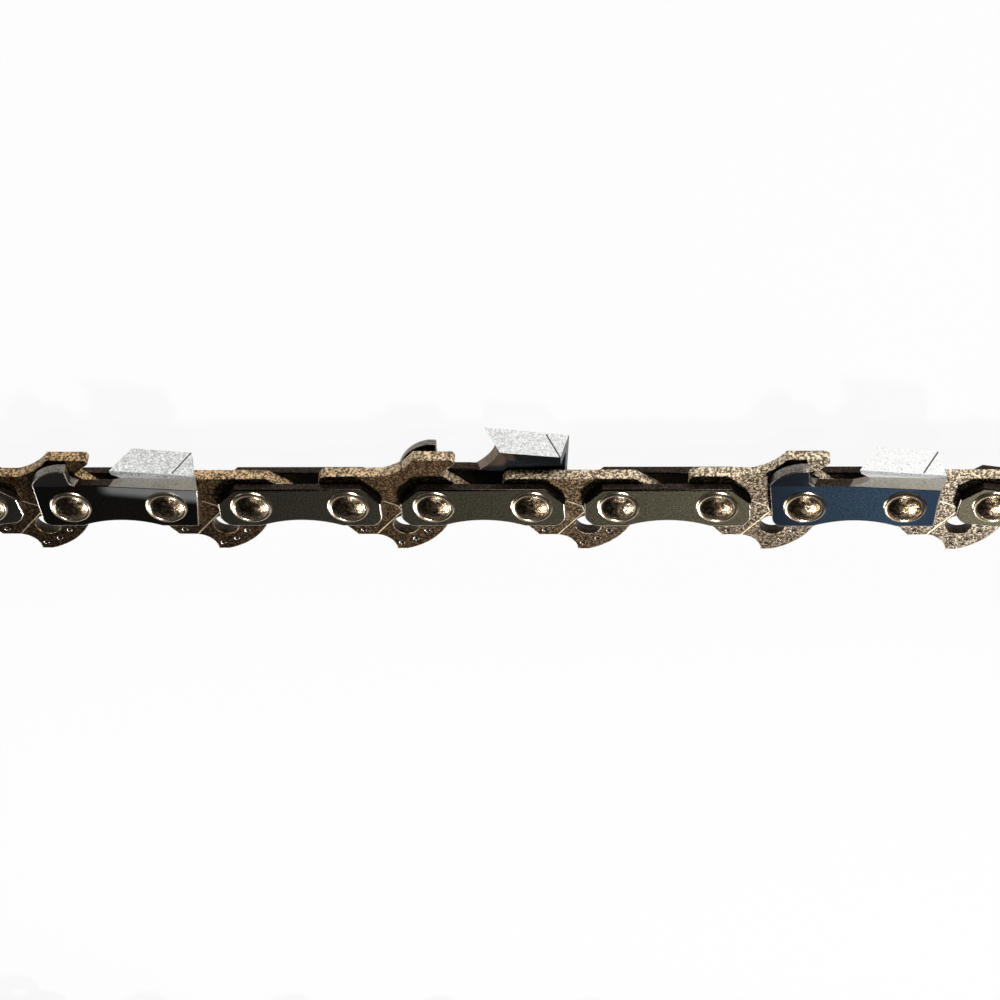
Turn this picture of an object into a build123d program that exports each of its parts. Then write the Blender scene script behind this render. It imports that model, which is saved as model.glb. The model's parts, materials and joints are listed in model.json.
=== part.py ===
from build123d import *
import os
from math import cos, radians, sin, tan

# Closed loop of low-profile 3/8 inch saw chain, lying on its side with the rivets upright.
# Along each link x runs rearwards (the teeth face -x), y points out of the loop,
# and z is the rivet axis, measured from the middle of the drive links.

# The loop
cutter_groups = 7        # a group is a right and a left cutter with their straps and drive links
straight_pivots = 5      # pivots on each side of a run's middle that are straight
outer_span = 9.92        # rivet to rivet on a strap or a cutter
drive_span = 8.72        # rivet to rivet on a drive link
gauge = 1.27             # drive link thickness, the width of the bar groove it runs in
plate_thick = 1.0        # straps and cutter bodies
side_gap = 0.05          # running gap between a drive link and each plate beside it

# Round edges have flat sides, because the loop repeats each of them up to fifty-six times.
round_chords = 5         # for a round stretch of a drive link's outline
gauge_chords = 4         # for a depth gauge's round front
file_sides = 16          # for the round file that cuts the teeth

# Rivets: the shoulder turns in the drive link, the ends are headed on the plates
rivet_r = 1.95
rivet_gap = 0.05         # running clearance in a drive link's hole
rivet_sides = 6          # hidden shoulder and its hole
head_r = 2.17
head_height = 0.5
head_sides = 8

# Drive links
link_top = 3.1           # flat top above the rivet line
link_front = 2.9         # metal in front of the front rivet
link_corner = 1.0        # cut-off corner at the top of the front end
front_end_low = 1.0      # where the front end turns in towards the foot
foot_heel = 0.6          # foot's front corner, in front of the front rivet
foot_heel_depth = 3.9
foot_toe = 0.46          # start of the flat under the foot, behind the front rivet
foot_length = 2.15       # end of that flat, where the gullet starts
foot_depth = 5.23
gullet_r = 2.15          # round gullet between foot and hook
tang_flat = 1.1          # flat behind the tip of the hook
tang_mid = 0.9           # middle of the tang's round back, in front of the rear rivet
tang_mid_depth = 6.15
tang_end = 1.07          # end of that round back, behind the rear rivet
tang_end_depth = 3.77
heel_reach = 2.9         # narrowest place behind the rear rivet
heel_depth = 0.4
nose_reach = 4.4         # rear nose
nose_height = 1.75
slope_start = 2.0        # end of the flat top, behind the rear rivet
oil_hole_r = 1.3
oil_hole_sides = 6
oil_hole_front = 3.2     # oil hole, in front of the rear rivet
oil_hole_depth = 3.75

# Bumper hump on every second drive link, just in front of a cutter's depth gauge
bumper_front_top = 3.45  # flat top in front of the hump
bumper_top = 5.8
ramp_foot = 5.2          # hollow ramp, measured forwards from the rear rivet
ramp_mid = 3.4
ramp_mid_height = 4.25
ramp_head = 1.82
bumper_flat = 1.95       # end of the hump's flat top, behind the rear rivet
beak_reach = 2.46        # beak and the notch under it, behind the rear rivet
beak_height = 5.1
notch_reach = 0.86
notch_height = 3.72
bumper_nose_height = 0.8

# Tie straps
strap_top = 2.48
strap_low = 2.85         # lowest edge, under the rivets
waist_low = 2.02         # bottom edge between the rivets
waist_start = 0.8        # the waist, inside each rivet
waist_full = 3.0         # where it reaches its full height
strap_end = 3.4          # metal past each rivet
strap_corner = 1.9       # cut-off top corners, along and up the strap
strap_corner_drop = 2.0
strap_foot = 1.0         # cut-off bottom corners, along and up the strap
strap_foot_rise = 1.15

# Cutters: body plate, depth gauge, flared side plate and top plate
cutter_front = 3.5       # front end at the depth gauge, in front of the front rivet
cutter_front_turn = 3.25 # lower end of the leaning front, above the cut-off bottom corner
cutter_turn_depth = 1.45
cutter_front_low = 2.6   # front end of the bottom edge
cutter_rear = 3.56       # rear end at the bend and at the bottom edge, behind the rear rivet
cutter_rear_low = 2.95
bend_height = 3.15       # where gauge and side plate bend away from the body: the floor between them
bend_fall = 4.0          # degrees that the side plate's bend falls rearwards
gauge_lean = 13.0        # degrees that the depth gauge leans out
gauge_top = 6.05
gauge_flat = 0.4         # front of its flat top, in front of the front rivet
gauge_rear = 0.45        # its steep rear face, behind the front rivet
gauge_rise = 0.15        # its front edge, above the bend
gauge_crown = 2.2        # middle of its round front, in front of the front rivet
gauge_crown_height = 5.25
tip_reach = 3.3          # working corner, out from the middle of the chain: half the kerf
tip_height = 6.75
tip_back = 5.1           # working corner, behind the front rivet
tooth_front = 3.6        # front of the tooth's foot, behind the front rivet
top_plate_thick = 1.0
top_plate_inner = 0.36   # how far the top plate reaches past the middle of the chain
top_relief = 6.5         # degrees that the top plate falls away behind the edge
tooth_rear_slant = 12.0  # degrees that the top plate's rear end is slanted in plan
file_r = 2.0             # round file that cuts the tooth
file_drop = 1.5          # file axis below the working corner
file_angle = 26.0        # turn of the file in plan

link_count = 8 * cutter_groups
plate_in = gauge / 2 + side_gap
plate_out = plate_in + plate_thick
mid_height = tip_reach   # the lower cutters' corners stand on the floor


def link_planes():
    """Middle plane of each link, clockwise from the middle of the +Y run."""
    half = link_count // 2
    bends = range(straight_pivots, half - straight_pivots)
    here, heading, places = Vector(0, 0), 0.0, []
    for link in range(link_count):
        places.append((here, heading))
        spans = (outer_span, drive_span) if link % 2 == 0 else (drive_span, outer_span)
        turned = heading - (180 / len(bends) if link % half in bends else 0)
        for angle, span in zip((heading, turned), spans):
            here = here + Vector(cos(radians(angle)), sin(radians(angle))) * (span / 2)
        heading = turned
    middle = (places[0][0] + places[half][0]) * 0.5
    planes = []
    for centre, angle in places:
        spot = centre - middle + Vector(0, 0, mid_height)
        planes.append(Plane(spot, x_dir=(cos(radians(angle)), sin(radians(angle)), 0), z_dir=(0, 0, 1)))
    return planes


def finish(name, piece):
    piece.part.label = name
    export_step(piece.part, f"parts/{name}.step")


def round_edge(start, middle, end, chords):
    """A round stretch of the outline being drawn, as a few chords."""
    arc = ThreePointArc(start, middle, end, mode=Mode.PRIVATE)
    Polyline(*[arc @ (step / chords) for step in range(chords + 1)])


def make_drive_link(name, plane, bumper):
    front, rear = -drive_span / 2, drive_span / 2
    top = bumper_front_top if bumper else link_top
    gullet_x = front + foot_length
    hook = (gullet_x + gullet_r, -foot_depth - gullet_r)
    gullet_mid = (gullet_x + gullet_r * sin(radians(45)), -foot_depth - gullet_r * (1 - cos(radians(45))))
    tang_front = (hook[0] + tang_flat, hook[1])
    tang_back = (rear + tang_end, -tang_end_depth)
    nose = (rear + nose_reach, bumper_nose_height if bumper else nose_height)
    with BuildPart() as drive_link:
        with BuildSketch(plane.offset(-gauge / 2)):
            with BuildLine():
                front_end = Polyline(
                    (gullet_x, -foot_depth),
                    (front + foot_toe, -foot_depth),
                    (front - foot_heel, -foot_heel_depth),
                    (front - link_front, -front_end_low),
                    (front - link_front, top - link_corner),
                    (front - link_front + link_corner, top),
                )
                if bumper:
                    Polyline(
                        front_end @ 1,
                        (rear - ramp_foot, top),
                        (rear - ramp_mid, ramp_mid_height),
                        (rear - ramp_head, bumper_top),
                        (rear + bumper_flat, bumper_top),
                        (rear + beak_reach, beak_height),
                        (rear + notch_reach, notch_height),
                        nose,
                    )
                else:
                    Polyline(front_end @ 1, (rear + slope_start, top), nose)
                Polyline(nose, (rear + heel_reach, -heel_depth), tang_back)
                round_edge(tang_back, (rear - tang_mid, -tang_mid_depth), tang_front, round_chords)
                Line(tang_front, hook)
                round_edge(hook, gullet_mid, (gullet_x, -foot_depth), round_chords)
            make_face()
            with Locations((front, 0), (rear, 0)):
                RegularPolygon(rivet_r + rivet_gap, rivet_sides, major_radius=False, mode=Mode.SUBTRACT)
            with Locations((rear - oil_hole_front, -oil_hole_depth)):
                RegularPolygon(oil_hole_r, oil_hole_sides, mode=Mode.SUBTRACT)
        extrude(amount=gauge)
    finish(name, drive_link)


def waisted_bottom(start, end):
    """Bottom edge of a plate, from the front end to the rear end, hollowed between the rivets."""
    half = outer_span / 2
    Polyline(
        (start, -strap_low),
        (waist_start - half, -strap_low),
        (waist_full - half, -waist_low),
        (half - waist_full, -waist_low),
        (half - waist_start, -strap_low),
        (end, -strap_low),
    )


def strap_face(plane):
    end = outer_span / 2 + strap_end
    with BuildSketch(plane) as strap:
        with BuildLine():
            waisted_bottom(strap_foot - end, end - strap_foot)
            Polyline(
                (end - strap_foot, -strap_low),
                (end, strap_foot_rise - strap_low),
                (end, strap_top - strap_corner_drop),
                (end - strap_corner, strap_top),
                (strap_corner - end, strap_top),
                (-end, strap_top - strap_corner_drop),
                (-end, strap_foot_rise - strap_low),
                (strap_foot - end, -strap_low),
            )
        make_face()
    return strap.sketch


def rivet_face(plane, x, radius, sides):
    with BuildSketch(plane) as rivet:
        with Locations((x, 0)):
            RegularPolygon(radius, sides)
    return rivet.sketch


def add_rivets(plane):
    """Two rivets through a link that is being built, each headed on both outer faces."""
    for x in (-outer_span / 2, outer_span / 2):
        extrude(rivet_face(plane.offset(-plate_out), x, rivet_r, rivet_sides), amount=2 * plate_out)
        for outwards in (1, -1):
            rim = rivet_face(plane.offset(outwards * plate_out), x, head_r, head_sides)
            crown = plane.from_local_coords(Vector(x, 0, outwards * (plate_out + head_height)))
            loft([rim.face(), Vertex(*crown)])


def make_tie_strap_link(name, plane):
    with BuildPart() as tie_strap_link:
        extrude(strap_face(plane.offset(plate_in)), amount=plate_thick)
        extrude(strap_face(plane.offset(-plate_out)), amount=plate_thick)
        add_rivets(plane)
    finish(name, tie_strap_link)


def make_tooth(plane):
    """Flared side plate and top plate, as one bent section that falls away rearwards, then filed."""
    start = -outer_span / 2 + tooth_front
    end = outer_span / 2 + cutter_rear
    fall, bend_drop = tan(radians(top_relief)), tan(radians(bend_fall))
    flare = (tip_reach - plate_out) / (tip_height - bend_height + bend_drop * (tip_back - tooth_front))
    turn_in = flare * (fall - bend_drop)
    top = tip_height + fall * (tip_back - tooth_front)
    under = top - top_plate_thick
    section = Plane(plane.from_local_coords(Vector(start, 0, 0)), x_dir=plane.z_dir, z_dir=-plane.x_dir)
    down_and_in = plane.x_dir - plane.y_dir * fall - plane.z_dir * turn_in
    inner = top_plate_inner + turn_in * (end - start)
    slant = radians(tooth_rear_slant)
    file_axis = plane.z_dir * cos(radians(file_angle)) - plane.x_dir * sin(radians(file_angle))
    file_across = plane.x_dir * cos(radians(file_angle)) + plane.z_dir * sin(radians(file_angle))
    edge_back = (file_r**2 - file_drop**2) ** 0.5 / cos(radians(file_angle))
    file_spot = Vector(-outer_span / 2 + tip_back - edge_back, tip_height - file_drop, tip_reach)
    kept_sides = (
        Plane(
            plane.from_local_coords(Vector(start, bend_height, 0)),
            z_dir=plane.y_dir + plane.x_dir * bend_drop,
        ),
        Plane(plane.from_local_coords(Vector(0, 0, -top_plate_inner)), z_dir=plane.z_dir),
        Plane(
            plane.from_local_coords(Vector(end, 0, plate_out)),
            z_dir=plane.z_dir * sin(slant) - plane.x_dir * cos(slant),
        ),
    )
    with BuildPart() as tooth:
        with BuildSketch(section):
            with BuildLine():
                Polyline(
                    (plate_in, bend_height),
                    (plate_out, bend_height),
                    (plate_out + flare * (top - bend_height), top),
                    (-inner, top),
                    (-inner, under),
                    (plate_in + flare * (under - bend_height), under),
                    close=True,
                )
            make_face()
        extrude(amount=(end + tip_reach - start) * down_and_in.length, dir=down_and_in)
        for kept_side in kept_sides:
            split(bisect_by=kept_side, keep=Keep.TOP)
        with BuildSketch(Plane(plane.from_local_coords(file_spot), x_dir=file_across, z_dir=file_axis)):
            RegularPolygon(file_r, file_sides)
            Rectangle(2 * tooth_front, 2 * file_r, align=(Align.MAX, Align.CENTER))
        extrude(amount=4 * tip_reach, both=True, mode=Mode.SUBTRACT)
    return tooth.part


def make_cutter_link(name, plane, left_hand):
    front, rear = -outer_span / 2, outer_span / 2
    low_front, low_rear = front - cutter_front_low, rear + cutter_rear_low
    rear_bend = bend_height - (rear + cutter_rear - front - tooth_front) * tan(radians(bend_fall))
    tooth = make_tooth(plane)
    lean = Plane(
        plane.from_local_coords(Vector(0, bend_height, plate_in)),
        x_dir=plane.x_dir,
        z_dir=plane.z_dir * cos(radians(gauge_lean)) - plane.y_dir * sin(radians(gauge_lean)),
    )
    with BuildPart() as cutter_link:
        with BuildSketch(plane.offset(plate_in)):
            with BuildLine():
                waisted_bottom(low_front, low_rear)
                Polyline(
                    (low_rear, -strap_low),
                    (rear + cutter_rear, rear_bend),
                    (front + tooth_front, bend_height),
                    (front - cutter_front, bend_height),
                    (front - cutter_front_turn, -cutter_turn_depth),
                    (low_front, -strap_low),
                )
            make_face()
        extrude(amount=plate_thick)
        with BuildSketch(lean):
            with BuildLine():
                gauge_foot = (front - cutter_front, gauge_rise)
                gauge_brow = (front - gauge_flat, gauge_top - bend_height)
                gauge_middle = (front - gauge_crown, gauge_crown_height - bend_height)
                round_edge(gauge_foot, gauge_middle, gauge_brow, gauge_chords)
                Polyline(
                    gauge_brow,
                    (front + gauge_rear, gauge_top - bend_height),
                    (front + gauge_rear, 0),
                    (front - cutter_front, 0),
                    gauge_foot,
                )
            make_face()
        extrude(amount=plate_thick)
        add(tooth)
        extrude(strap_face(plane.offset(-plate_out)), amount=plate_thick)
        add_rivets(plane)
        if not left_hand:
            mirror(about=plane, mode=Mode.REPLACE)
    finish(name, cutter_link)


os.makedirs("parts", exist_ok=True)
for link, plane in enumerate(link_planes()):
    group, place = divmod(link, 8)
    if place % 2 == 1:
        make_drive_link(f"drive_link_{link // 2 + 1:02d}", plane, bumper=place % 4 == 3)
    elif place % 4 == 2:
        make_tie_strap_link(f"tie_strap_link_{link // 4 + 1:02d}", plane)
    elif place == 0:
        make_cutter_link(f"right_cutter_link_{group + 1}", plane, left_hand=False)
    else:
        make_cutter_link(f"left_cutter_link_{group + 1}", plane, left_hand=True)
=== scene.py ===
# %% [markdown]
# A closed loop of saw chain, lying on its side, seen from above and outside one straight run.
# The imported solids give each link's place. Every link is rebuilt here with the rolled edges, round
# rivets and ground faces that the real stampings have, and takes the place of its own solid.

# %% Load the frame
import bpy, bmesh, json
from cmath import phase, rect
from math import cos, pi, radians, sin, sqrt, tan
from mathutils import Matrix, Vector


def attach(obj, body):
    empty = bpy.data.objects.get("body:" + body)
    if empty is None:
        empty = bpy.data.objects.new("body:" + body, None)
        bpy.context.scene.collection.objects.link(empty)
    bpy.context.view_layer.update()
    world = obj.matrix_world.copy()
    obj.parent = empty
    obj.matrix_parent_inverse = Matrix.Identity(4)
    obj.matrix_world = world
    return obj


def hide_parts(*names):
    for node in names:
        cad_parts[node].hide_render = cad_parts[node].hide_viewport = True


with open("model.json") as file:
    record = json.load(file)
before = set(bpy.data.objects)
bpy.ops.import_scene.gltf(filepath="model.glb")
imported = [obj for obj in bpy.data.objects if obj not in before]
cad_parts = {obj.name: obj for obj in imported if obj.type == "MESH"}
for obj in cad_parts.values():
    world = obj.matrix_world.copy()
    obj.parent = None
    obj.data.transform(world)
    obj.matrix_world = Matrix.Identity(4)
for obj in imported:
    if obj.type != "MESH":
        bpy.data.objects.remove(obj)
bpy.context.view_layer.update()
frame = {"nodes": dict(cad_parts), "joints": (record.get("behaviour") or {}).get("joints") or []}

# %% [markdown]
# All sizes are in millimetres, in the link's own axes: x runs rearwards along the link from its
# middle, y points out of the loop and z runs along the rivets. They are the sizes of the solids.

# %% Sizes of the links
mm, weld = 0.001, 1e-4
outer_span, drive_span = 9.92, 8.72
gauge, plate_thick, side_gap = 1.27, 1.0, 0.05
plate_in = gauge / 2 + side_gap
plate_out = plate_in + plate_thick
strap_low, strap_high = -2.85, 2.48
hole_r, shank_r, head_r, head_height = 2.0, 1.95, 2.17, 0.5
drive_front, drive_rear = -drive_span / 2, drive_span / 2
outer_front, outer_rear = -outer_span / 2, outer_span / 2
print("plates from", plate_in, "to", plate_out, "mm")

# %% [markdown]
# Links are blanked out of sheet steel by a punch, so each starts as an outline. Straight stretches
# need only their corners. Round ones come from three points each, so no long list is needed.

# %% Draw outlines
def arc(start, middle, end, steps):
    """Points on the circle through three points, from start to end."""
    a, b, c = complex(*start), complex(*middle), complex(*end)
    w = (c - a) / (b - a)
    centre = (b - a) * (w - abs(w) ** 2) / (2j * w.imag) + a
    sweep = phase((c - centre) / (a - centre))
    if phase((b - centre) / (a - centre)) * sweep < 0:
        sweep -= 2 * pi * (1 if sweep > 0 else -1)
    spots = [centre + (a - centre) * rect(1, sweep * k / steps) for k in range(steps)]
    return [(p.real, p.imag) for p in spots] + [end]


def circle(x, y, radius, steps=32):
    """Points of a round hole."""
    turns = [2 * pi * k / steps for k in range(steps)]
    return [(x + radius * cos(t), y + radius * sin(t)) for t in turns]


print("a rivet hole has", len(circle(0, 0, hole_r)), "points")

# %% [markdown]
# The punch leaves one thickness and slightly rolled edges. A block cut to shape would need a cut
# and a bevel for each corner. A flat curve gives just what the punch does, all at once: outlines,
# holes, a depth and a rounded rim.

# %% Stamp a plate
def stamped(outlines, low, high, rim):
    """A plate from z low to high with these outlines, the first its edge and the rest holes."""
    blank = bpy.data.curves.new("blank", "CURVE")
    blank.dimensions, blank.fill_mode = "2D", "BOTH"
    blank.extrude = (high - low) / 2 - rim
    blank.bevel_depth, blank.bevel_resolution, blank.offset = rim, 2, -rim
    for outline in outlines:
        spline = blank.splines.new("POLY")
        spline.points.add(len(outline) - 1)
        spline.use_cyclic_u = True
        for point, (x, y) in zip(spline.points, outline):
            point.co = (x, y, 0, 1)
    holder = bpy.data.objects.new("blank", blank)
    plate = bmesh.new()
    mesh = bpy.data.meshes.new_from_object(holder)
    plate.from_mesh(mesh)
    bmesh.ops.remove_doubles(plate, verts=plate.verts, dist=weld)
    bmesh.ops.recalc_face_normals(plate, faces=plate.faces)
    bmesh.ops.translate(plate, verts=plate.verts, vec=(0, 0, (low + high) / 2))
    plate.normal_update()
    bpy.data.objects.remove(holder)
    bpy.data.curves.remove(blank)
    bpy.data.meshes.remove(mesh)
    return plate


print("plates can be stamped")

# %% [markdown]
# Tempering colours the whole of a link, and then plating and grinding change parts of it, and a
# painted highlight brightens some rims. The way a face points tells which part it is, so no face
# has to be picked by hand.

# %% Tell the parts of a link apart
finishes = ["bronze_face", "bronze_edge", "blued_face", "blued_rim", "highlight_rim", "blued_wall"]
finishes += ["cutter_face", "chrome", "lit_gauge_wall", "ground", "rivet"]
face_tilt, wall_tilt, upward = 0.99, 0.1, 0.15


def paint(piece, face, rim, wall, highlit=None):
    """Finishes for flat faces, rolled rims, walls between rims and lower rims with a painted
    highlight.
    """
    for f in piece.faces:
        tilt = abs(f.normal.z)
        if tilt > face_tilt:
            finish = face
        elif tilt < wall_tilt:
            finish = wall
        else:
            # Rims that do not face up take the highlight finish where one is given, which is a
            # painted highlight.
            finish = rim if f.normal.y > upward else highlit or rim
        f.material_index = finishes.index(finish)
    return piece


def show(name, piece):
    """Says what a trial piece came to and throws it away."""
    print(name, len(piece.faces), "faces")
    piece.free()


print("finishes:", finishes)

# %% [markdown]
# A drive link runs in the bar's groove: a foot, a round gullet and a hooked tang that a sprocket
# pulls. Every second one has a bumper hump with a beak, which eases the wood past a depth gauge.
# The two kinds differ only in their upper edge, so one function draws the rest of both.

# %% Outline of a drive link
foot_depth, gullet_r = 5.23, 2.15
plain_top, shoulder_top, hump_top = 3.1, 3.45, 5.8


def plain_edge(rear, top):
    """Upper edge of a plain link, from its rounded rear corner down."""
    corner = arc((rear + 1.5, top), (rear + 1.95, top - 0.13), (rear + 2.3, top - 0.45), 6)
    return corner + [(rear + 3.85, 1.6), (rear + 4.4, 0.85)]


def hump_edge(rear, top):
    """Upper edge of a bumper link: a ramp, the hump with its beak and the slope below it."""
    ramp = arc((rear - 5.2, top), (rear - 3.4, 4.25), (rear - 1.82, hump_top), 8)
    beak = arc((rear + 1.85, hump_top), (rear + 2.4, 5.5), (rear + 2.3, 4.95), 6)[:-1]
    slope = [(rear + 0.86, 3.72), (rear + 3.35, 1.3), (rear + 4.4, 0.5)]
    return [(rear - 5.6, top)] + ramp + beak + slope


def drive_outline(bumper):
    front, rear = drive_front, drive_rear
    gullet = front + gullet_r
    hook = (gullet + gullet_r, -foot_depth - gullet_r)
    heel = (hook[0] + 1.1, hook[1])
    hollow = (gullet + gullet_r * sin(pi / 4), -foot_depth - gullet_r * (1 - cos(pi / 4)))
    top = shoulder_top if bumper else plain_top
    outline = [(front + 0.46, -foot_depth), (front - 0.6, -3.9), (front - 2.9, -1.0)]
    outline += arc((front - 2.9, top - 1.0), (front - 2.64, top - 0.26), (front - 1.9, top), 6)
    outline += hump_edge(rear, top) if bumper else plain_edge(rear, top)
    outline += [(rear + 2.9, -0.4)]
    outline += arc((rear + 1.07, -3.77), (rear - 0.9, -6.15), heel, 10)
    return outline + arc(hook, hollow, (gullet, -foot_depth), 10)


print("outline points:", [len(drive_outline(bumper)) for bumper in (False, True)])

# %% [markdown]
# Two rivet holes and an oil hole go through the link. Small round dimples are struck into both
# faces. Each is a hole in the outline, closed by a shorter plug, which needs no boolean.

# %% Drive links
drive_rim, oil_hole_r, hole_reach = 0.09, 1.3, 0.1
steep_tilt, rolled_tilt = 0.5, 0.2
dimple_r, plug_r, dimple_depth, dimple_points = 0.21, 0.24, 0.13, 12
oil_hole = Vector((drive_rear - 3.2, -3.75))
dimples = [(drive_rear - x, -y) for x, y in ((3.84, 6.46), (2.32, 5.81), (1.08, 4.6))]
dimples += [(drive_front + 1.11, -4.49)]


def drive_link(bumper):
    holes = [circle(x, 0, hole_r) for x in (drive_front, drive_rear)]
    holes += [circle(*oil_hole, oil_hole_r, 24)]
    holes += [circle(x, y, dimple_r, dimple_points) for x, y in dimples]
    link = stamped([drive_outline(bumper)] + holes, -gauge / 2, gauge / 2, drive_rim)
    for x, y in dimples:
        bmesh.ops.create_cone(
            link, cap_ends=True, segments=dimple_points, radius1=plug_r, radius2=plug_r,
            depth=gauge - 2 * dimple_depth, matrix=Matrix.Translation((x, y, 0)),
        )
    link.normal_update()
    paint(link, "bronze_face", "bronze_edge", "bronze_edge")
    # The oil hole's walls and the dimples' bottoms take a dark finish, which is painted shade in
    # these recesses, and the dimples' rims take the pale rim finish, which is a painted highlight.
    for f in link.faces:
        spot, tilt = f.calc_center_median().xy, abs(f.normal.z)
        if tilt < steep_tilt and (spot - oil_hole).length < oil_hole_r + hole_reach:
            f.material_index = finishes.index("blued_wall")
        if min((spot - Vector(d)).length for d in dimples) < dimple_r + hole_reach:
            rolled = rolled_tilt < tilt < face_tilt
            f.material_index = finishes.index("highlight_rim" if rolled else "blued_wall")
    return link


show("plain drive link", drive_link(False))
show("bumper drive link", drive_link(True))

# %% [markdown]
# A tie strap joins two rivets on the outside of the drive links. Its top corners are cut off and
# its underside is hollowed between the rivets, to ride clear of the bar's rails. The cutters share
# that underside, so it has a function of its own.

# %% Tie straps
strap_rim, strap_end = 0.16, outer_rear + 3.4


def hollowed_bottom():
    """Lower edge between the rivets."""
    side = outer_rear - 0.8
    return arc((-side, strap_low), (0, -2.02), (side, strap_low), 14)


def tie_strap(low, high):
    end = strap_end
    outline = hollowed_bottom()
    outline += arc((end - 1.0, strap_low), (end - 0.4, -2.36), (end, -1.7), 4) + [(end, 0.48)]
    outline += [(end - 1.9, strap_high), (1.9 - end, strap_high), (-end, 0.48)]
    outline += arc((-end, -1.7), (0.4 - end, -2.36), (1.0 - end, strap_low), 4)
    strap = stamped([outline], low, high, strap_rim)
    return paint(strap, "blued_face", "blued_rim", "blued_wall", "highlight_rim")


show("tie strap", tie_strap(plate_in, plate_out))

# %% [markdown]
# A rivet is a turned pin whose ends are spun over into low, peened heads with a raised ring. One
# half profile, spun once round the axis, makes the whole pin with both heads.

# %% Rivets
head_sink = 0.02
dome_profile = [(0, head_height), (0.5, 0.48), (0.95, 0.42), (1.35, 0.32), (1.62, 0.21)]
ring_profile = [(1.72, 0.18), (1.8, 0.22), (1.93, 0.25), (2.05, 0.19), (2.13, 0.09), (head_r, 0)]


def rivet(x):
    profile = [(r, plate_out + height) for r, height in dome_profile + ring_profile]
    profile += [(shank_r, plate_out - head_sink)]
    profile += [(r, -z) for r, z in reversed(profile)]
    pin = bmesh.new()
    spots = [pin.verts.new((x + r, 0, z)) for r, z in profile]
    line = [pin.edges.new(pair) for pair in zip(spots, spots[1:])]
    bmesh.ops.spin(
        pin, geom=spots + line, cent=(x, 0, 0), axis=(0, 0, 1), angle=2 * pi, steps=36,
        use_merge=True, use_duplicate=False,
    )
    bmesh.ops.remove_doubles(pin, verts=pin.verts, dist=weld)
    bmesh.ops.recalc_face_normals(pin, faces=pin.faces)
    return paint(pin, "rivet", "rivet", "rivet")


show("rivet", rivet(0))

# %% [markdown]
# A cutter is one stamping: a body plate between the rivets, a depth gauge that leans out in front,
# and a tooth behind it. The body and the gauge are flat, so they are stamped like the straps, and
# the gauge is then tilted about the line where it is bent.

# %% Cutter body and depth gauge
bend_height, bend_drop, gauge_lean = 3.15, tan(radians(4)), radians(13)
tooth_start, tooth_end = outer_front + 3.6, outer_rear + 3.56
body_rim, gauge_rim, gauge_top = 0.12, 0.09, 6.05


def cutter_body():
    front, rear = outer_front, outer_rear
    outline = hollowed_bottom()
    outline += [(rear + 2.95, strap_low)]
    outline += [(tooth_end, bend_height - bend_drop * (tooth_end - tooth_start))]
    outline += [(tooth_start, bend_height), (front - 3.5, bend_height)]
    outline += arc((front - 3.25, -1.45), (front - 3.08, -2.35), (front - 2.6, strap_low), 4)
    body = stamped([outline], plate_in, plate_out, body_rim)
    return paint(body, "cutter_face", "blued_rim", "blued_wall", "highlight_rim")


def depth_gauge():
    front, top = outer_front, gauge_top - bend_height
    brow = arc((front - 3.5, 0.15), (front - 2.2, 5.25 - bend_height), (front - 0.4, top), 12)
    corner = arc((front + 0.3, top), (front + 0.41, top - 0.04), (front + 0.45, top - 0.15), 3)
    throat = arc((front + 0.45, 1.0), (front + 0.72, 0.36), (front + 1.4, 0.06), 6)
    root = [(front + 1.4, -0.25), (front - 3.47, -0.25)]
    blade = stamped([brow + corner[:-1] + throat[:-1] + root], 0, plate_thick, gauge_rim)
    # Its rims and walls take a paler copy of the blued steel, which is a painted highlight.
    paint(blade, "cutter_face", "lit_gauge_wall", "lit_gauge_wall")
    bend = Matrix.Translation((0, bend_height, plate_in)) @ Matrix.Rotation(gauge_lean, 4, "X")
    bmesh.ops.transform(blade, matrix=bend, verts=blade.verts)
    return blade


show("cutter body", cutter_body())
show("depth gauge", depth_gauge())

# %% [markdown]
# The tooth's front is ground by a wheel with a rounded nose, set at an angle in plan. A boolean cut
# would leave ragged faces. Here each point of the front slides back along the tooth until it meets
# the wheel's profile, so the cutting edge, the hollow under it and the slanted top edge all come
# from one cut, as on the real chain.

# %% Grinding wheel
tip_reach, tip_height, tip = 3.3, 6.75, outer_front + 5.1
wheel_reach, wheel_nose, wheel_drop, wheel_turn = 2.0, 0.35, 1.5, radians(26)
upper_flank, lower_flank, lower_curve = 0.67, 0.1, 0.42
relief, slide_steps = tan(radians(6.5)), 8
flare_height = tip_height - bend_height + bend_drop * (tip - tooth_start)
flare = (tip_reach - plate_out) / flare_height
fall = Vector((1, -relief, -flare * (relief - bend_drop)))
wheel_axis = Vector((-sin(wheel_turn), 0, cos(wheel_turn)))
wheel_side = Vector((cos(wheel_turn), 0, sin(wheel_turn)))


def wheel_profile(height):
    """How far the wheel reaches rearwards at a height above or below its nose."""
    fall_off = sqrt(height**2 + wheel_nose**2) - wheel_nose
    if height > 0:
        return wheel_reach - upper_flank * fall_off
    return wheel_reach - lower_flank * fall_off - lower_curve * height**2


wheel_front = tip - wheel_profile(wheel_drop) / cos(wheel_turn)
wheel_spot = Vector((wheel_front, tip_height - wheel_drop, tip_reach))


def slide_to_wheel(spot):
    """Moves a point rearwards along the tooth until it is on the wheel's profile, or not at all."""
    slid = 0
    for _ in range(slide_steps):
        off = spot + fall * slid - wheel_spot
        slid += (wheel_profile(off.y) - off.dot(wheel_side)) / fall.dot(wheel_side)
    return spot + fall * max(slid, 0)


print("wheel at", wheel_spot)

# %% [markdown]
# The tooth itself is a bent strip. Its section is pushed rearwards along a direction that falls and
# turns in, and that slope is the relief that makes a saw tooth cut. Its foot is sunk a little into
# the body plate, and two plane cuts trim the foot and the top plate's inner edge.

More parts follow.
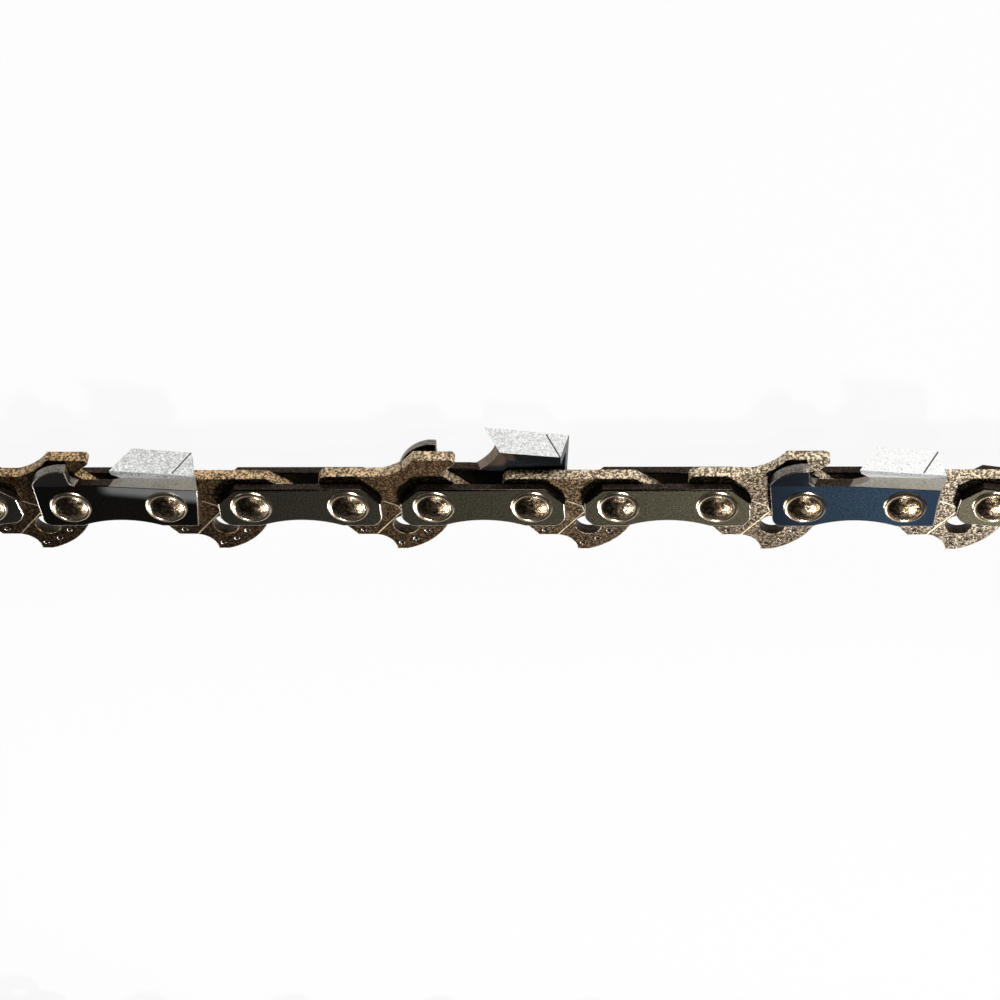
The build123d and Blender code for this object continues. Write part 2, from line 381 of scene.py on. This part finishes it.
# %% Tooth
top_thick, top_inner, rear_slant = 1.0, 0.36, radians(12)
outer_round, inner_round, foot_sink, foot_trim = 0.3, 0.35, 0.1, 0.02
tooth_low, top_tilt, side_tilt = bend_height - foot_sink, 0.7, 0.5


def outside(height):
    """How far out the flared side plate's outer face stands at a height."""
    return plate_out + flare * (height - bend_height)


def inside(height):
    """How far out its inner face stands."""
    return outside(height) - plate_thick


def tooth_section():
    """The bent strip from foot to inner edge, as pairs of an outer and an inner point."""
    top = tip_height + relief * (tip - tooth_start)
    under = top - top_thick
    edge = fall.z * (tooth_end - tooth_start) - top_inner
    bend, inner_bend = top - outer_round, under - inner_round
    return [
        ((tooth_low, outside(tooth_low)), (tooth_low, inside(tooth_low))),
        ((bend, outside(bend)), (inner_bend, inside(inner_bend))),
        ((top, outside(top) - outer_round), (under, inside(under) - inner_round)),
        ((top, edge), (under, edge)),
    ]


def trimmed(blank, spot, way):
    """Cuts away what lies behind a plane and closes the cut."""
    everything = blank.verts[:] + blank.edges[:] + blank.faces[:]
    cut = bmesh.ops.bisect_plane(
        blank, geom=everything, plane_co=spot, plane_no=way, clear_inner=True
    )
    rim = [e for e in cut["geom_cut"] if isinstance(e, bmesh.types.BMEdge)]
    for f in bmesh.ops.holes_fill(blank, edges=rim)["faces"]:
        f.material_index = finishes.index("cutter_face")


def tooth():
    blank = bmesh.new()
    rows = [[blank.verts.new((tooth_start, y, z)) for y, z in pair] for pair in tooth_section()]
    for (a, b), (c, d) in zip(rows, rows[1:]):
        blank.faces.new((a, b, d, c))
    strip = [e for e in blank.edges if set(e.verts) not in [set(row) for row in rows]]
    bmesh.ops.subdivide_edges(blank, edges=strip, cuts=9, use_grid_fill=True)
    front = list(blank.verts)
    grown = bmesh.ops.extrude_face_region(blank, geom=list(blank.faces), use_keep_orig=True)
    back = [g for g in grown["geom"] if isinstance(g, bmesh.types.BMVert)]
    rear_normal = Vector((cos(rear_slant), 0, -sin(rear_slant)))
    rear_spot = Vector((tooth_end, 0, plate_out))
    for v in back:
        v.co += fall * (rear_normal.dot(rear_spot - v.co) / rear_normal.dot(fall))
    for v in front:
        v.co = slide_to_wheel(v.co)
    bmesh.ops.recalc_face_normals(blank, faces=blank.faces)
    wheel_marks = set(front)
    for f in blank.faces:
        plated = f.normal.y > top_tilt or f.normal.z > side_tilt
        ground = set(f.verts) <= wheel_marks
        finish = "ground" if ground else "chrome" if plated else "cutter_face"
        f.material_index = finishes.index(finish)
    trimmed(blank, (tooth_start, tooth_low + foot_trim, 0), (bend_drop, 1, 0))
    trimmed(blank, (0, 0, -top_inner), (0, 0, 1))
    bmesh.ops.recalc_face_normals(blank, faces=blank.faces)
    return blank


show("tooth", tooth())

# %% [markdown]
# The real plates and rivets of an outer link are riveted solid, so each outer link is one piece
# made of several shells. The right-hand cutter is the left-hand one mirrored across the chain.

# %% Assemble the five kinds of link
crease = radians(35)


def joined(*shells, mirrored=False):
    """One mesh of several shells, smooth except across creases and where the finish changes."""
    whole = bmesh.new()
    for shell in shells:
        mesh = bpy.data.meshes.new("shell")
        shell.to_mesh(mesh)
        whole.from_mesh(mesh)
        bpy.data.meshes.remove(mesh)
        shell.free()
    if mirrored:
        bmesh.ops.scale(whole, vec=(1, 1, -1), verts=whole.verts)
        bmesh.ops.reverse_faces(whole, faces=whole.faces)
    for e in whole.edges:
        sides = {f.material_index for f in e.link_faces}
        e.smooth = len(sides) == 1 and e.calc_face_angle(pi) < crease
    for f in whole.faces:
        f.smooth = True
    return whole


def outer_link(*near, mirrored=False):
    """The near plates with the far strap and two rivets."""
    pins = [rivet(outer_front), rivet(outer_rear)]
    return joined(*near, tie_strap(-plate_out, -plate_in), *pins, mirrored=mirrored)


masters = {
    "plain": joined(drive_link(False)),
    "bumper": joined(drive_link(True)),
    "tie": outer_link(tie_strap(plate_in, plate_out)),
    "left": outer_link(cutter_body(), depth_gauge(), tooth()),
    "right": outer_link(cutter_body(), depth_gauge(), tooth(), mirrored=True),
}
for kind, master in masters.items():
    print(kind, sum(len(f.verts) - 2 for f in master.faces), "triangles")

# %% [markdown]
# Finishes are procedural. Sums on sockets read better as formulas, so one small class wraps a
# socket and turns Python operators into Math nodes. One method adds any other node.

# %% A socket that can be used in sums
class Wire:
    """An output socket in the node tree that is being built."""
    tree = None

    def __init__(self, socket):
        self.socket = socket

    @classmethod
    def node(cls, kind, settings=None, sockets=None, out=0):
        """Adds a node, sets it up, fills or links its sockets and gives one of its outputs."""
        made = cls.tree.nodes.new("ShaderNode" + kind)
        for name, value in (settings or {}).items():
            setattr(made, name, value)
        for name, value in (sockets or {}).items():
            if isinstance(value, Wire):
                cls.tree.links.new(value.socket, made.inputs[name])
            else:
                made.inputs[name].default_value = value
        return cls(made.outputs[out]) if made.outputs else None

    @classmethod
    def maths(cls, operation, *values):
        return cls.node("Math", {"operation": operation}, dict(enumerate(values)))

    def __add__(self, other):
        return Wire.maths("ADD", self, other)

    def __sub__(self, other):
        return Wire.maths("SUBTRACT", self, other)

    def __rsub__(self, other):
        return Wire.maths("SUBTRACT", other, self)

    def __mul__(self, other):
        return Wire.maths("MULTIPLY", self, other)

    __radd__, __rmul__ = __add__, __mul__


print("shader sums ready")

# %% [markdown]
# A few nodes come up again and again, so each has a short name here: a soft step, a mix of two
# colours, a sum on vectors and one axis of a vector.

# %% Steps, mixes and axes
mix_factor, mix_one, mix_other, mix_out = 0, 6, 7, 2


def between(value, low, high):
    """0 below low, 1 above high, smooth in between; the other way where low is above high."""
    span = {"Value": value, "From Min": low, "From Max": high}
    return Wire.node("MapRange", {"interpolation_type": "SMOOTHSTEP", "clamp": True}, span)


def rgba(colour):
    """A colour socket as it is, or a written colour with its alpha."""
    return colour if isinstance(colour, Wire) else (*colour, 1)


def mixed(factor, one, other):
    """One colour where factor is 0, the other where it is 1."""
    sockets = {mix_factor: factor, mix_one: rgba(one), mix_other: rgba(other)}
    return Wire.node("Mix", {"data_type": "RGBA"}, sockets, mix_out)


def vector_maths(operation, *values, out="Vector"):
    return Wire.node("VectorMath", {"operation": operation}, dict(enumerate(values)), out)


def axis(where, name):
    return Wire.node("SeparateXYZ", None, {"Vector": where}, name)


print("helpers ready:", [f.__name__ for f in (between, rgba, mixed, vector_maths, axis)])

# %% [markdown]
# Grain and speckle sit in the steel, so they read object coordinates and differ from link to link.
# Stamped marks sit at the same place on every link, so they read the link's own millimetres, which
# each mesh carries in an attribute. A painted texture could do neither for all 56 links at once.

# %% Coordinates, patterns and metal
def on_loop():
    """Where a point is on the whole loop, in millimetres."""
    return vector_maths("MULTIPLY", Wire.node("TexCoord", out="Object"), (1 / mm,) * 3)


def on_link():
    """Where a point is on its own link, in millimetres."""
    return Wire.node("Attribute", {"attribute_name": "link_mm"}, out="Vector")


def noise(where, per_mm, detail=4.0, rough=0.7):
    sockets = {"Vector": where, "Scale": per_mm, "Detail": detail, "Roughness": rough}
    return Wire.node("TexNoise", None, sockets)


def cells(where, per_mm):
    return Wire.node("TexVoronoi", {"feature": "F1"}, {"Vector": where, "Scale": per_mm})


def shifted(spot, span, left, right):
    """A colour that shifts along the loop, between two places on its x axis."""
    return mixed(between(axis(spot, "X"), *span), left, right)


def steel(colour, roughness, height, bump, span):
    """A metal finish. height, times span in millimetres, only bends the light."""
    relief_map = {"Height": height, "Strength": bump, "Distance": span * mm}
    facts = {"Base Color": colour, "Metallic": 1.0, "Roughness": roughness}
    facts["Normal"] = Wire.node("Bump", None, relief_map)
    Wire.node("OutputMaterial", None, {"Surface": Wire.node("BsdfPrincipled", None, facts)})


def new_finish(name):
    made = bpy.data.materials.new(name)
    made.use_nodes = True
    made.node_tree.nodes.clear()
    Wire.tree = made.node_tree
    return made


looks = {}
print("pattern helpers ready")

# %% [markdown]
# A thin line is scored into each drive link's faces, and another into the chrome of each tooth.
# As geometry they would be hair-thin cuts, so they are lines in the finish: a colour and a dent
# wherever a point is close enough to a segment.

# %% Scored lines
score_bends = [(-5.17, -0.25), (-3.72, -0.93), (-3.46, -1.73), (-6.44, -5.29)]


def near_segment(where, start, end):
    """Distance from the line between two points of the link."""
    run = Vector(end) - Vector(start)
    off = vector_maths("SUBTRACT", where, start)
    along = vector_maths("DOT_PRODUCT", off, run / run.length_squared, out="Value")
    along = Wire.node("Clamp", None, {"Value": along})
    foot = Wire.node("VectorMath", {"operation": "SCALE"}, {0: tuple(run), "Scale": along})
    return vector_maths("LENGTH", vector_maths("SUBTRACT", off, foot), out="Value")


def scored_line(own):
    """1 on the scored line of a drive link's faces and 0 beside it."""
    flat = vector_maths("MULTIPLY", own, (1, 1, 0))
    bends = [(drive_rear + x, y, 0) for x, y in score_bends]
    runs = [near_segment(flat, *ends) for ends in zip(bends, bends[1:])]
    return sum(between(run, 0.08, 0.03) for run in runs)


print("scored line in", len(score_bends) - 1, "stretches")

# %% [markdown]
# Drive links are tempered to a golden brown. Their faces and edges are painted paler towards one end
# of the run, which is painted light. The faces sparkle with a fine grain and carry the scored line,
# and the tangs are painted darker, which is painted shade. The sheared edges are brighter and
# coarser. One noise gives each of them its colour and its bump, so the two agree.

# %% Bronzed steel of the drive links
dark_grain_and_shade = (0.015, 0.009, 0.0045)

looks["bronze_face"] = new_finish("bronze_face")
spot, own = on_loop(), on_link()
grain, score = noise(spot, 5.0), scored_line(own)
# Painted light: the faces are painted paler towards the loop's +x end.
bright = shifted(spot, (-5, 55), (0.185, 0.114, 0.057), (0.37, 0.315, 0.235))
colour = mixed(between(grain, 0.46, 0.64), dark_grain_and_shade, bright)
# Painted shade: the faces are painted darker towards the tang's lower end.
tang_shade = 0.3 * between(axis(own, "Y"), -3.2, -5.5)
colour = mixed(0.9 * score, mixed(tang_shade, colour, dark_grain_and_shade), (0.75, 0.62, 0.44))
steel(colour, 0.24 + 0.14 * grain, grain - 0.8 * score, bump=0.6, span=0.08)

looks["bronze_edge"] = new_finish("bronze_edge")
spot = on_loop()
grain, run = noise(spot, 3.8), (-40, 30)
# Painted light: the sheared edges are painted darker towards the loop's -x end, paler towards +x.
dark = shifted(spot, run, (0.06, 0.036, 0.018), (0.12, 0.085, 0.055))
bright = shifted(spot, run, (0.68, 0.46, 0.235), (1.0, 0.84, 0.6))
steel(mixed(between(grain, 0.45, 0.58), dark, bright), 0.36, grain, bump=1.0, span=0.2)
print("bronze finishes:", list(looks))

# %% [markdown]
# Straps and cutter bodies are blued: nearly black, with an olive or deep blue cast that shifts along
# the chain with the temper; on the straps that shift is partly painted light, brighter to one end.
# The tumbler polishes their rims, the lower rims are painted bright as a painted highlight, and the
# walls between the rims stay black. All have one grain and differ in two tones.

# %% Blued steel of straps, rims and walls
blued_grain = 6.0


def blued_tone(grain, dark, bright):
    return mixed(between(grain, 0.4, 0.75), dark, bright)


def blued_steel(colour, rough, grain):
    steel(colour, rough + 0.15 * grain, grain, bump=0.3, span=0.05)


looks["blued_face"] = new_finish("blued_face")
spot = on_loop()
grain, run = noise(spot, blued_grain), (-45, 45)
# Partly temper colour and partly painted light: the straps are painted brighter towards +x.
dark = shifted(spot, run, (0.018, 0.018, 0.015), (0.03, 0.028, 0.02))
bright = shifted(spot, run, (0.06, 0.047, 0.031), (0.13, 0.112, 0.064))
blued_steel(blued_tone(grain, dark, bright), 0.4, grain)

edge_tones = {
    "blued_rim": ((0.014, 0.011, 0.009), (0.05, 0.04, 0.032), 0.2),
    # Painted highlight: these rims are painted pale.
    "highlight_rim": ((0.4, 0.36, 0.31), (0.85, 0.79, 0.7), 0.18),
    "blued_wall": ((0.014, 0.01, 0.008), (0.1, 0.069, 0.047), 0.34),
    # Painted highlight: the gauge's rims and walls are painted paler than the body's.
    "lit_gauge_wall": ((0.1, 0.088, 0.075), (0.4, 0.36, 0.31), 0.28),
}
for name, (dark, bright, rough) in edge_tones.items():
    looks[name] = new_finish(name)
    grain = noise(on_loop(), blued_grain)
    blued_steel(blued_tone(grain, dark, bright), rough, grain)
print("blued finishes:", list(looks)[2:])

# %% [markdown]
# A cutter's face is blued too, painted darker towards its ends, which is painted shade. Where the
# chrome bath reached past the tooth, a silver veil creeps down the outer face, and the grinding
# wheel burns the inner face brown near its cut. Both follow from where a point is on the link, so
# they need no mask by hand.

# %% Blued steel of the cutters
veil, burn = (0.72, 0.74, 0.74), (0.09, 0.06, 0.043)

looks["cutter_face"] = new_finish("cutter_face")
spot, own = on_loop(), on_link()
grain, run = noise(spot, blued_grain), (-20, 45)
dark = shifted(spot, run, (0.01, 0.009, 0.008), (0.003, 0.007, 0.014))
bright = shifted(spot, run, (0.045, 0.042, 0.036), (0.017, 0.036, 0.054))
x, y, z = (axis(own, name) for name in "XYZ")
# Painted shade: the face is painted darker towards both ends of the link.
ends = 0.8 * between(Wire.maths("ABSOLUTE", x), 3.0, 7.5)
colour = mixed(ends, blued_tone(grain, dark, bright), dark)
upper = between(y + 0.13 * (x - tooth_start), 1.5, 2.7)
under_tooth = between(x, tooth_start - 0.6, tooth_start + 1.2)
outer = between(z, plate_out - 0.3, plate_out - 0.1)
creep = 0.9 * upper * under_tooth * outer * between(axis(spot, "X"), 10, -10)
colour = mixed(creep, colour, veil)
from_wheel = near_segment(own, wheel_spot - 5 * wheel_axis, wheel_spot + 5 * wheel_axis)
burnt = between(from_wheel, 2.9, 2.5) * between(y, 3.2, 3.6) * (1.0 - outer)
blued_steel(mixed(burnt, colour, burn), 0.26, grain)
print("cutter face made")

# %% [markdown]
# The tooth is hard-chromed, so it stays sharp: silver with fine dark pits on the top plate, painted
# darker towards the loop's -x end as painted shade, a side plate painted darker and browner than the
# top, which is painted shade, and an oblique witness line near its rear end that shows how far it
# may be sharpened. The ground front is bare, brown steel with the wheel's fine lines.

# %% Chrome and ground steel
witness_line = ((8.1, 0, -0.45), (6.55, 0, 2.65))
chevron_tip, chevron_ends = (6.8, 4.4, 0), ((6.4, 5.0, 0), (6.4, 3.8, 0))

looks["chrome"] = new_finish("chrome")
spot, own = on_loop(), on_link()
pits, frost = between(cells(spot, 3.0), 0.12, 0.26), noise(spot, 4.0, detail=5.0)
height, frosted = axis(own, "Y"), between(frost, 0.35, 0.65)
plan, side = (vector_maths("MULTIPLY", own, keep) for keep in ((1, 0, 1), (1, 1, 0)))
line = between(near_segment(plan, *witness_line), 0.11, 0.04) * between(height, 5.6, 5.7)
for end in chevron_ends:
    arm = between(near_segment(side, chevron_tip, end), 0.1, 0.04)
    line = line + 0.5 * arm * between(height, 5.4, 5.3)
# Painted shade: the top plate's silver is painted darker towards the loop's -x end.
left_shaded_silver = shifted(spot, (-20, 45), (0.42, 0.42, 0.41), (0.78, 0.78, 0.77))
silver = mixed(pits, (0.45, 0.45, 0.44), mixed(frosted, left_shaded_silver, (0.9, 0.9, 0.895)))
# Painted shade: the side plate is painted darker and browner than the top plate.
shaded_side_plate = mixed(frosted, (0.34, 0.32, 0.275), (0.58, 0.545, 0.475))
colour = mixed(between(height, 5.75, 5.45), silver, shaded_side_plate)
colour = mixed(line, colour, (0.06, 0.06, 0.06))
steel(colour, 0.42 + 0.12 * frost, frost - line, bump=0.35, span=0.06)

looks["ground"] = new_finish("ground")
stretched = vector_maths("MULTIPLY", on_link(), (1.5, 6.0, 1.0))
lines = noise(stretched, 1.0, detail=3.0, rough=0.55)
steel(mixed(lines, (0.1, 0.07, 0.05), (0.3, 0.24, 0.19)), 0.35, lines, bump=0.4, span=0.04)
print("tooth finishes:", list(looks)[-2:])

# %% [markdown]
# Rivet heads are bronze: a ring painted pale, which is a painted highlight, round a darker dome,
# which the peening tool leaves uneven. The dome is found by the distance from the nearer rivet's
# axis, so ring and dome share a finish.

# %% Rivet steel
looks["rivet"] = new_finish("rivet")
spot, own = on_loop(), on_link()
peened, grain = cells(spot, 1.6), noise(spot, 3.0)
x, y = Wire.maths("ABSOLUTE", axis(own, "X")) - outer_rear, axis(own, "Y")
dome = between(Wire.maths("SQRT", x * x + y * y), 1.75, 1.5)
colour = mixed(between(grain, 0.4, 0.7), (0.045, 0.029, 0.017), (0.4, 0.29, 0.18))
# Painted highlight: outside the dome the ring is painted a pale gold.
colour = mixed(dome, (0.8, 0.64, 0.45), colour)
uneven = (0.4 * peened + 0.6 * grain) * dome
steel(colour, 0.16 + 0.12 * grain, uneven, bump=0.4, span=0.12)
print("finishes:", sorted(looks))

# %% [markdown]
# Each pivot of the frame lies between two links, so a link runs from the pivot before it to the
# pivot after it. The loop is opened at one pivot, which lies half a turn from the first one.

# %% Names and pivots of the links
link_count, group_size = len(frame["nodes"]), 8
pivots = {int(j["name"][-2:]) - 1: Vector(j["pos_m"]) for j in frame["joints"]}
pivots[link_count // 2] = Vector((-pivots[0].x, -pivots[0].y, pivots[0].z))


def link_facts(link):
    """Node, kind and material slot of a link, from its place in the chain's pattern."""
    group, place = divmod(link, group_size)
    if place % 2 == 1:
        kind = "bumper" if place % 4 == 3 else "plain"
        return f"drive_link_{link // 2 + 1:02d}", kind, "bronzed_steel"
    if place % 4 == 2:
        return f"tie_strap_link_{link // 4 + 1:02d}", "tie", "blued_steel"
    hand = "right" if place == 0 else "left"
    return f"{hand}_cutter_link_{group + 1}", hand, "chromed_steel"


print("first group:", [link_facts(k)[0] for k in range(group_size)])

# %% [markdown]
# The real loop repeats a few stampings, so each link is a copy of its kind's mesh. It is turned and
# moved to its place, rides its own node and hides that node's plain solid.

# %% Place a copy of its kind on every link
def place_link(link):
    node, kind, slot = link_facts(link)
    front, rear = pivots[(link - 1) % link_count], pivots[link]
    along = (rear - front).normalized()
    turn = Matrix((along, Vector((-along.y, along.x, 0)), Vector((0, 0, 1)))).transposed()
    mesh = bpy.data.meshes.new(node + ".look")
    masters[kind].to_mesh(mesh)
    hand = -1 if kind == "right" else 1
    own_mm = [c for v in mesh.vertices for c in (v.co.x, v.co.y, hand * v.co.z)]
    mesh.attributes.new("link_mm", "FLOAT_VECTOR", "POINT").data.foreach_set("vector", own_mm)
    place = Matrix.Translation((front + rear) / 2) @ turn.to_4x4() @ Matrix.Scale(mm, 4)
    mesh.transform(place)
    for finish in finishes:
        mesh.materials.append(looks[finish])
    piece = bpy.data.objects.new(node + ".look", mesh)
    bpy.context.scene.collection.objects.link(piece)
    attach(piece, node)
    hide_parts(node)
    return piece


links = [place_link(k) for k in range(link_count)]
for master in masters.values():
    master.free()
print(len(links), "links placed")

# %% [markdown]
# The picture is taken from above and outside the run, a little to its right. Two angles and a
# distance give the view. The scale and the place of the middle link in the picture then fix the
# lens and the aim, so the links fall where the picture has them.

# %% Camera
rise, swing, distance = radians(46.9), radians(5.0), 0.2935
sensor, px_per_mm, picture_px = 36, 9.877, 1000
link_px = Vector((483.66, 495.05))
middle = (pivots[0] + pivots[link_count - 1]) / 2
away, up = Vector((0, sin(rise), cos(rise))), Vector((0, cos(rise), -sin(rise)))
back = cos(swing) * away + sin(swing) * Vector((1, 0, 0))
right = cos(swing) * Vector((1, 0, 0)) - sin(swing) * away
off_px = right * (picture_px / 2 - link_px.x) + up * (link_px.y - picture_px / 2)
target = middle + off_px / px_per_mm * mm
turn = Matrix((right, up, back)).transposed().to_4x4()
camera = bpy.data.cameras.new("camera")
camera.sensor_width, camera.lens = sensor, sensor * px_per_mm * distance / mm / picture_px
camera.clip_start, camera.clip_end = 0.01, 10
holder = bpy.data.objects.new("camera", camera)
holder.matrix_world = Matrix.Translation(target + back * distance) @ turn
bpy.context.scene.collection.objects.link(holder)
bpy.context.scene.camera = holder
print("camera at", holder.matrix_world.translation)

# %% [markdown]
# The chain lies on white that has no end in the picture. A lit sheet alone would come out grey, so
# most of the floor glows for the camera and for rays that metal mirrors, and the rest is lit, which
# keeps the object's shadow. Walls, rims and chrome mirror that white.

# %% Floor
floor_half, floor_glow = 4.0, 0.92
sheet = bmesh.new()
bmesh.ops.create_grid(sheet, x_segments=1, y_segments=1, size=floor_half)
floor_mesh = bpy.data.meshes.new("floor")
sheet.to_mesh(floor_mesh)
sheet.free()
floor = bpy.data.objects.new("floor", floor_mesh)
bpy.context.scene.collection.objects.link(floor)
paper = new_finish("white_paper")
seen = Wire.node("LightPath", out="Is Camera Ray")
for ray in ("Is Glossy Ray", "Is Transmission Ray"):
    seen = Wire.maths("MAXIMUM", seen, Wire.node("LightPath", out=ray))
lit = Wire.node("BsdfDiffuse", None, {"Color": rgba((0.95, 0.95, 0.95))})
glow = Wire.node("Emission", None, {"Color": rgba((1, 1, 1)), "Strength": 1.0})
surface = Wire.node("MixShader", None, {0: floor_glow * seen, 1: lit, 2: glow})
Wire.node("OutputMaterial", None, {"Surface": surface})
floor_mesh.materials.append(paper)
print("floor", 2 * floor_half, "m wide")

# %% [markdown]
# Polished metal shows what stands round it. Flat faces mirror the dim room beyond the loop, where
# one small lamp brightens those at the right. A wide lamp in front lights the walls and the tops of
# the teeth, a small one overhead gives the rivets a spark, and two strips draw their rings.

# %% Light
def soft_light(name, spot, size, watts):
    lamp = bpy.data.lights.new(name, "AREA")
    lamp.shape, lamp.size, lamp.size_y, lamp.energy = "RECTANGLE", size[0], size[1], watts
    stand = bpy.data.objects.new(name, lamp)
    turn = (middle - Vector(spot)).to_track_quat("-Z", "Y").to_matrix().to_4x4()
    stand.matrix_world = Matrix.Translation(spot) @ turn
    bpy.context.scene.collection.objects.link(stand)
    return stand


lights = [
    soft_light("front_lamp", (0.32, 0.76, 0.14), size=(0.4, 0.16), watts=6),
    soft_light("top_lamp", (0.08, -0.02, 0.7), size=(0.08, 0.08), watts=0.7),
    soft_light("right_lamp", (0.23, -0.46, 0.5), size=(0.1, 0.1), watts=4),
    soft_light("left_strip", (-0.5, -0.25, 0.1), size=(0.3, 0.12), watts=1.5),
    soft_light("far_strip", (0, -0.75, 0.17), size=(1.4, 0.12), watts=0.3),
]

room = bpy.data.worlds.new("room")
room.use_nodes = True
room.node_tree.nodes.clear()
Wire.tree = room.node_tree
dim = Wire.node("Background", None, {"Color": rgba((0.03, 0.03, 0.032)), "Strength": 1.0})
Wire.node("OutputWorld", None, {"Surface": dim})
bpy.context.scene.world = room
bpy.context.scene.view_settings.view_transform = "Standard"
print("lights:", [lamp.name for lamp in lights])
